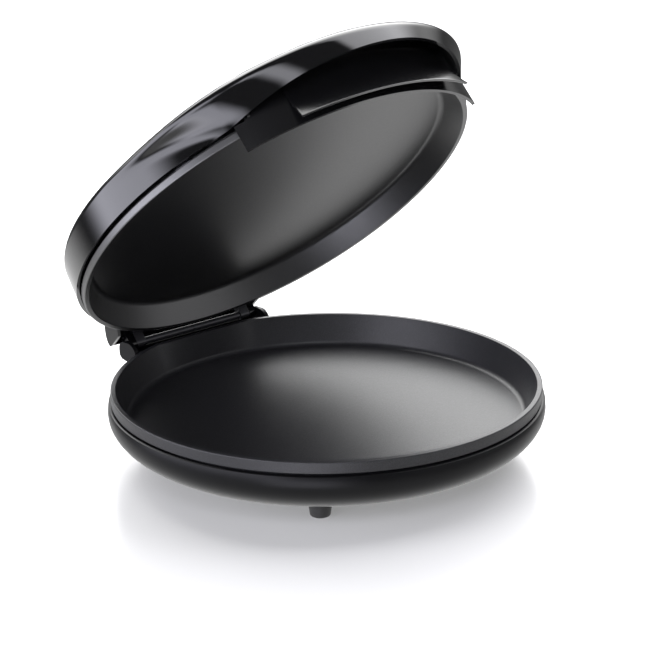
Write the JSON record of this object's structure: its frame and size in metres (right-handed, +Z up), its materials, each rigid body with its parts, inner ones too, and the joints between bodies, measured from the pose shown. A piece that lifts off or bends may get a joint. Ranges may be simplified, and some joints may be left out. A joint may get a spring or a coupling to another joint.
{
  "type": "electric pizza maker",
  "caption": "Round countertop pizza maker with a deep baking pan and a domed black lid, hinged at the back, that carries its own baking plate and a hood handle.",
  "frame": {"origin": "on the table, in the middle of the bounding box's bottom face with the lid at rest", "axes": "+Z up, +Y towards the hinge at the back, +X to the right as seen from the front"},
  "size_m": [0.3256, 0.3499, 0.3313],
  "materials": {
    "gloss_black": "gloss",
    "satin_black": "satin",
    "coated_cast": "satin",
    "black_steel": "satin",
    "steel": "satin",
    "foot_rubber": "matte",
    "ceramic": "matte",
    "red_lens": "gloss",
    "green_lens": "gloss"
  },
  "bodies": {
    "base": {"base_housing": "satin_black", "base_feet": "foot_rubber", "foot_screws": "steel", "lower_pan": "coated_cast", "lower_element": "steel", "lower_element_clips": "steel", "lower_shield": "steel", "lower_shield_screws": "steel", "lower_thermostat": "steel", "thermal_fuse": "ceramic", "terminal_block": "ceramic", "cord_inlet_bush": "satin_black", "hinge_tube_left": "black_steel", "hinge_tube_right": "black_steel", "hinge_pin": "steel"},
    "lid": {"lid_shell": "gloss_black", "hinge_brackets": "black_steel", "bracket_screws": "steel", "handle_guard": "satin_black", "handle_guard_screws": "steel", "steam_guard": "satin_black", "steam_guard_screws": "steel", "upper_plate": "coated_cast", "plate_spring_clips": "steel", "upper_element": "steel", "upper_element_clips": "steel", "upper_shield": "steel", "upper_shield_screws": "steel", "upper_thermostat": "steel", "power_lens": "red_lens", "ready_lens": "green_lens", "power_lamp": "ceramic", "ready_lamp": "ceramic"}
  },
  "joints": [
    {"name": "lid_hinge", "type": "hinge", "parent": "base", "child": "lid", "pos_m": [0, 0.15366, 0.0573], "axis": [-1, 0, 0], "range_deg": [-45.5, 49.5]}
  ]
}
